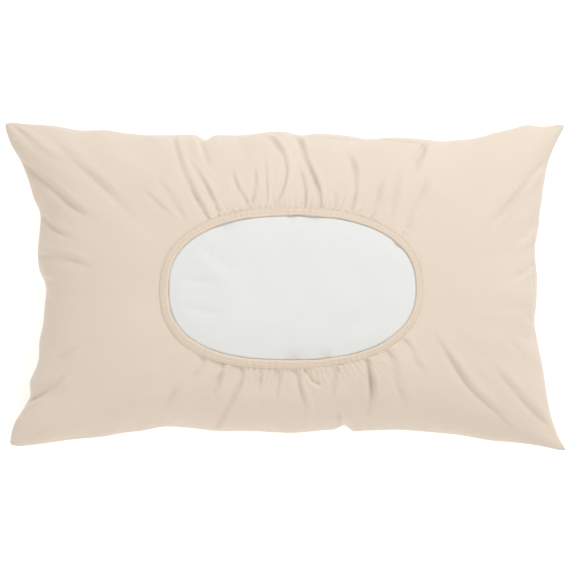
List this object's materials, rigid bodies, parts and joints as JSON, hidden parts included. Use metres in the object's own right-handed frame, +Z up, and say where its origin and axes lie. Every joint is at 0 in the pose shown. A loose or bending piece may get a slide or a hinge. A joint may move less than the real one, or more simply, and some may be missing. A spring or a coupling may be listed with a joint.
{
  "type": "face cradle cushion",
  "caption": "Oblong stuffed face pillow in a pull-on cover whose oval opening is gathered into an elastic binding.",
  "frame": {"origin": "middle of the underside, on the surface that the cushion rests on", "axes": "+X along the cushion's length, +Y across its width, +Z up through the opening"},
  "size_m": [0.6, 0.35, 0.1277],
  "materials": {
    "beige_cover_cloth": "smooth woven microfibre with a soft sheen",
    "beige_binding_cloth": "the cover's cloth, cut on the bias and folded",
    "beige_thread": "spun polyester thread",
    "white_thread": "spun polyester thread",
    "white_ticking": "plain matt white woven ticking",
    "white_elastic": "ribbed knitted elastic",
    "fibre_filling": "loose polyester fibre"
  },
  "bodies": {
    "root": {"fill_core": "fibre_filling", "ticking_bottom_panel": "white_ticking", "ticking_top_panel": "white_ticking", "ticking_seam_overlock": "white_thread", "cover_bottom_panel": "beige_cover_cloth", "cover_top_panel": "beige_cover_cloth", "cover_seam_overlock": "beige_thread", "opening_binding": "beige_binding_cloth", "opening_elastic": "white_elastic", "binding_stitch_outer": "beige_thread", "binding_stitch_inner": "beige_thread"}
  },
  "joints": []
}
